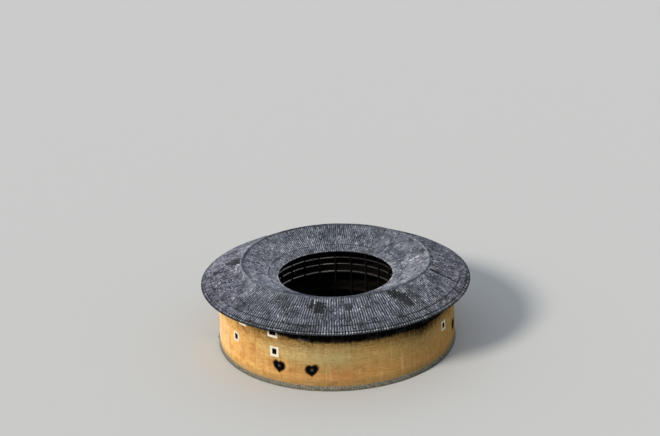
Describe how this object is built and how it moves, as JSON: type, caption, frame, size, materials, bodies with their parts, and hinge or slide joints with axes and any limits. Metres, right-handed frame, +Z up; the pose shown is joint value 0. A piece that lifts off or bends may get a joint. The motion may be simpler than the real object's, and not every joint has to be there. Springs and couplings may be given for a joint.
{
  "type": "tulou roundhouse",
  "caption": "Round earth-walled communal house with a ring gable tile roof, timber galleries and an open courtyard.",
  "frame": {"origin": "on the ground at the middle of the courtyard", "axes": "+Z up, -Y the side that faces the picture's camera, gate towards -X"},
  "size_m": [38.2, 38.2, 12.02],
  "materials": {
    "rammed_earth": "rammed earth, rough and stained",
    "cobble_stone": "river stone and dressed granite, rough",
    "timber": "old fir, smoke dark",
    "weathered_timber": "old fir, weathered grey",
    "roof_tile": "grey fired clay tile, weathered",
    "ridge_lime": "lime mortar, weathered"
  },
  "bodies": {
    "root": {"plinth_back_right": "cobble_stone", "plinth_back_left": "cobble_stone", "plinth_front_left": "cobble_stone", "plinth_front_right": "cobble_stone", "wall_back_right": "rammed_earth", "wall_rear_right": "rammed_earth", "wall_rear_middle": "rammed_earth", "wall_rear_left": "rammed_earth", "wall_back_left": "rammed_earth", "gate_wall_back": "rammed_earth", "gate_wall_front": "rammed_earth", "gate_wall_over": "rammed_earth", "wall_front_left": "rammed_earth", "wall_front": "rammed_earth", "wall_front_right": "rammed_earth", "wall_hall": "rammed_earth", "gate_surround": "cobble_stone", "gate_threshold": "cobble_stone", "gate_leaf_back": "timber", "gate_leaf_front": "timber", "ground_floor": "cobble_stone", "second_floor": "timber", "third_floor": "timber", "gallery_posts_back_right": "timber", "gallery_posts_back_left": "timber", "gallery_posts_front_left": "timber", "gallery_posts_front_right": "timber", "second_floor_rail": "weathered_timber", "third_floor_rail": "weathered_timber", "roof_outer_1": "roof_tile", "roof_outer_2": "roof_tile", "roof_outer_3": "roof_tile", "roof_outer_4": "roof_tile", "roof_outer_5": "roof_tile", "roof_outer_6": "roof_tile", "roof_outer_7": "roof_tile", "roof_outer_8": "roof_tile", "roof_inner_1": "roof_tile", "roof_inner_2": "roof_tile", "roof_inner_3": "roof_tile", "roof_inner_4": "roof_tile", "roof_inner_5": "roof_tile", "roof_inner_6": "roof_tile", "roof_inner_7": "roof_tile", "roof_inner_8": "roof_tile", "roof_ridge": "ridge_lime"}
  },
  "joints": []
}
